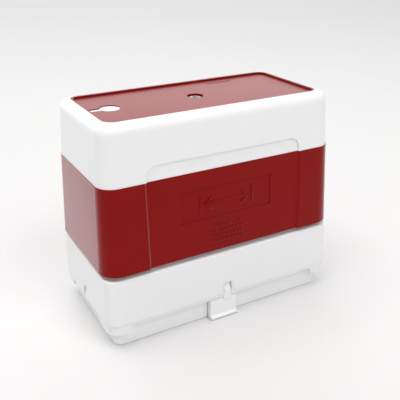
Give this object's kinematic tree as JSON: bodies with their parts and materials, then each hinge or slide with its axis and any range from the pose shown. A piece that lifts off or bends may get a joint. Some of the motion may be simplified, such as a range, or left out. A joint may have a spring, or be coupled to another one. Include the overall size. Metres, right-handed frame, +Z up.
{
  "type": "self inking stamp",
  "caption": "Rectangular pre-inked hand stamp: white grip shell over a red sleeve, spring-loaded white skirt with corner feet, and a pull-off dust cap it stands on.",
  "frame": {"origin": "centre of the footprint at the cap's flat bottom", "axes": "+Z up, +X along the long side, the front looks towards -Y"},
  "size_m": [0.086, 0.0448, 0.0735],
  "materials": {
    "white_shell": "satin moulded ABS",
    "red_sleeve": "fine satin moulded ABS",
    "red_tray": "fine satin moulded ABS",
    "screw_steel": "zinc plated",
    "pin_steel": "ground",
    "chassis_plastic": "moulded",
    "holder_plastic": "moulded",
    "frame_plastic": "moulded",
    "felt": "ink soaked felt",
    "foam": "fine foam",
    "plug_rubber": "matte",
    "bush_plastic": "acetal",
    "spring_steel": "wire",
    "white_skirt": "satin moulded ABS",
    "white_cap": "satin moulded PP",
    "film": "thin film"
  },
  "bodies": {
    "grip": {"grip_shell": "white_shell", "casing_sleeve": "red_sleeve", "label_tray": "red_tray", "centre_screw": "screw_steel", "chassis": "chassis_plastic", "pad_holder": "holder_plastic", "holder_screws": "screw_steel", "ink_reservoir": "felt", "printing_pad": "foam", "retaining_frame": "frame_plastic", "guide_pin_left": "pin_steel", "guide_pin_right": "pin_steel", "return_spring_left": "spring_steel", "return_spring_right": "spring_steel", "ink_plug_left": "plug_rubber", "ink_plug_right": "plug_rubber"},
    "skirt": {"skirt_frame": "white_skirt", "guide_bush_left": "bush_plastic", "guide_bush_right": "bush_plastic"},
    "cap": {"cap_tray": "white_cap", "cap_liner": "film"},
    "latch_front": {"cap_latch_front": "white_cap"},
    "latch_rear": {"cap_latch_rear": "white_cap"}
  },
  "joints": [
    {"name": "skirt_press", "type": "slide", "parent": "grip", "child": "skirt", "axis": [0, 0, 1], "range_m": [0, 0.0016], "stiffness_N_per_m": 1200, "springref_m": -0.003, "deforming": ["return_spring_left", "return_spring_right"]},
    {"name": "cap_pull", "type": "slide", "parent": "skirt", "child": "cap", "axis": [0, 0, -1], "range_m": [0, 0.025]},
    {"name": "latch_front_flex", "type": "hinge", "parent": "cap", "child": "latch_front", "pos_m": [0.0014, -0.0186, 0.0008], "axis": [-1, 0, 0], "range_deg": [0, 1.5], "stiffness_Nm_per_rad": 0.4},
    {"name": "latch_rear_flex", "type": "hinge", "parent": "cap", "child": "latch_rear", "pos_m": [-0.0014, 0.0186, 0.0008], "axis": [1, 0, 0], "range_deg": [0, 1.5], "stiffness_Nm_per_rad": 0.4}
  ]
}
